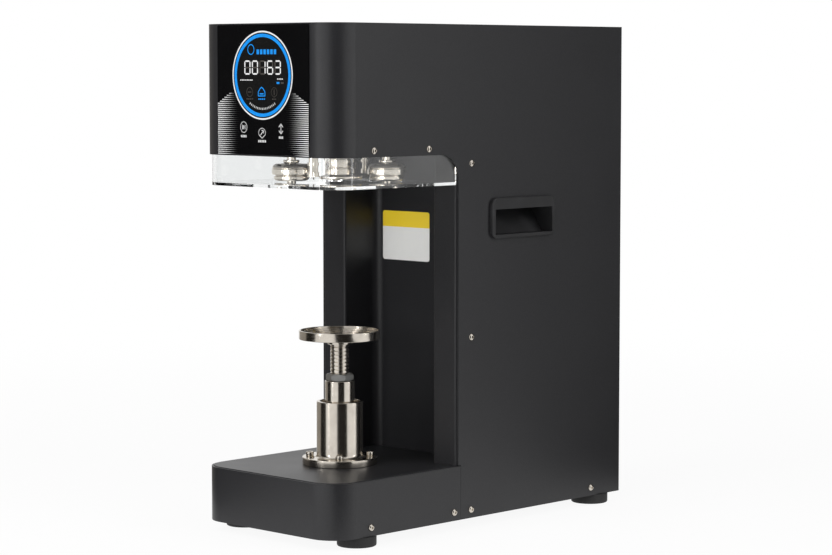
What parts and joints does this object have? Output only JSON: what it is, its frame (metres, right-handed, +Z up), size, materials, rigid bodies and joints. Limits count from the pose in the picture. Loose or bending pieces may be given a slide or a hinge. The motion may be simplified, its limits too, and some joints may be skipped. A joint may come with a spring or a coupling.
{
  "type": "can seamer",
  "caption": "Desktop electric can seamer: a screw-lifted tray holds the can under a still chuck while a turning head swings seaming rollers in on its lid.",
  "frame": {"origin": "middle of the footprint, on the surface that the feet stand on", "axes": "+Z up, the control panel faces -Y, +X is the side seen in the picture"},
  "size_m": [0.217, 0.4583, 0.541],
  "materials": {
    "black_coat": "satin fine-textured powder coat",
    "raw_steel": "zinc-plated",
    "polished": "polished nickel",
    "clear": "clear acrylic",
    "overlay": "gloss",
    "black_plastic": "fine grain",
    "rubber": "matte",
    "belt": "matte",
    "aluminium": "milled",
    "board": "solder mask",
    "motor_paint": "semi-gloss",
    "grey_nut": "matt grey"
  },
  "bodies": {
    "cabinet": {"upper_housing": "black_coat", "top_cover": "black_coat", "base_shell": "black_coat", "base_top_plate": "black_coat", "floor_plate": "black_coat", "column_panel": "black_coat", "rear_panel": "black_coat", "feet": "rubber", "handle_right": "black_plastic", "handle_left": "black_plastic", "clear_guard": "clear", "control_panel": "overlay", "display_module": "black_plastic", "cabinet_screws": "polished", "lifter_sleeve": "polished", "sleeve_screws": "polished", "lift_motor": "motor_paint", "lift_bracket": "raw_steel", "base_props": "raw_steel", "head_plate": "raw_steel", "deck_pillars": "raw_steel", "bearing_deck": "raw_steel", "column_posts": "raw_steel", "column_rails": "raw_steel", "spindle_housing": "aluminium", "spindle_bearings": "raw_steel", "shaft_bridge": "raw_steel", "seaming_chuck": "polished", "chuck_shaft": "polished", "shift_actuator": "motor_paint", "drive_motor": "motor_paint", "drive_belt": "belt", "power_supply": "black_plastic", "control_board": "board", "board_standoffs": "raw_steel", "mains_inlet": "black_plastic", "switch_case": "black_plastic"},
    "lift_screw": {"lift_screw": "raw_steel"},
    "lift": {"lift_piston": "polished"},
    "nut": {"adjusting_nut": "grey_nut"},
    "tray": {"tray_stem": "polished", "can_tray": "polished"},
    "seaming_head": {"spindle": "raw_steel", "head_disc": "raw_steel", "spindle_pulley": "aluminium"},
    "motor_rotor": {"motor_shaft": "raw_steel", "motor_pulley": "aluminium"},
    "cam": {"cam_sleeve": "raw_steel", "shift_fork": "raw_steel"},
    "first_arm": {"first_arm": "raw_steel", "first_pivot_shaft": "polished", "first_lever": "raw_steel", "first_roller_pin": "polished"},
    "second_arm": {"second_arm": "raw_steel", "second_pivot_shaft": "polished", "second_lever": "raw_steel", "second_roller_pin": "polished"},
    "first_roller": {"first_roller": "polished"},
    "second_roller": {"second_roller": "polished"},
    "rocker": {"power_rocker": "black_plastic"}
  },
  "joints": [
    {"name": "lift_screw_turn", "type": "hinge", "parent": "cabinet", "child": "lift_screw", "pos_m": [0, -0.118, 0.08], "axis": [0, 0, 1], "range_deg": [-1801, 0.5]},
    {"name": "lift_slide", "type": "slide", "parent": "cabinet", "child": "lift", "axis": [0, 0, 1], "range_m": [0, 0.02]},
    {"name": "nut_turn", "type": "hinge", "parent": "lift", "child": "nut", "pos_m": [0, -0.118, 0.165], "axis": [0, 0, 1], "range_deg": [-1081, 2251]},
    {"name": "tray_height", "type": "slide", "parent": "lift", "child": "tray", "axis": [0, 0, 1], "range_m": [-0.025, 0.012]},
    {"name": "head_spin", "type": "hinge", "parent": "cabinet", "child": "seaming_head", "pos_m": [0, -0.118, 0.44], "axis": [0, 0, 1], "continuous": true},
    {"name": "motor_spin", "type": "hinge", "parent": "cabinet", "child": "motor_rotor", "pos_m": [0, 0.052, 0.51], "axis": [0, 0, 1], "continuous": true},
    {"name": "cam_slide", "type": "slide", "parent": "cabinet", "child": "cam", "axis": [0, 0, 1], "range_m": [-0.004, 0.004]},
    {"name": "first_arm_swing", "type": "hinge", "parent": "seaming_head", "child": "first_arm", "pos_m": [0.01464, -0.17059, 0.4055], "axis": [0, 0, 1], "range_deg": [-2.88, 2.88]},
    {"name": "second_arm_swing", "type": "hinge", "parent": "seaming_head", "child": "second_arm", "pos_m": [-0.01464, -0.06541, 0.4055], "axis": [0, 0, 1], "range_deg": [-2.88, 2.88]},
    {"name": "first_roller_spin", "type": "hinge", "parent": "first_arm", "child": "first_roller", "pos_m": [-0.03597, -0.15273, 0.384], "axis": [0, 0, 1], "continuous": true},
    {"name": "second_roller_spin", "type": "hinge", "parent": "second_arm", "child": "second_roller", "pos_m": [0.03597, -0.08327, 0.384], "axis": [0, 0, 1], "continuous": true},
    {"name": "power_rocker_tilt", "type": "hinge", "parent": "cabinet", "child": "rocker", "pos_m": [0.042, 0.2187, 0.072], "axis": [1, 0, 0], "range_deg": [0, 16]}
  ],
  "couplings": [
    {"joint": "lift_screw_turn", "follows": "lift_slide", "rad_per_m": -1570.8},
    {"joint": "nut_turn", "follows": "tray_height", "rad_per_m": -1570.8},
    {"joint": "motor_spin", "follows": "head_spin", "ratio": 2.5},
    {"joint": "first_arm_swing", "follows": "cam_slide", "rad_per_m": -12.5},
    {"joint": "second_arm_swing", "follows": "cam_slide", "rad_per_m": 12.5}
  ]
}
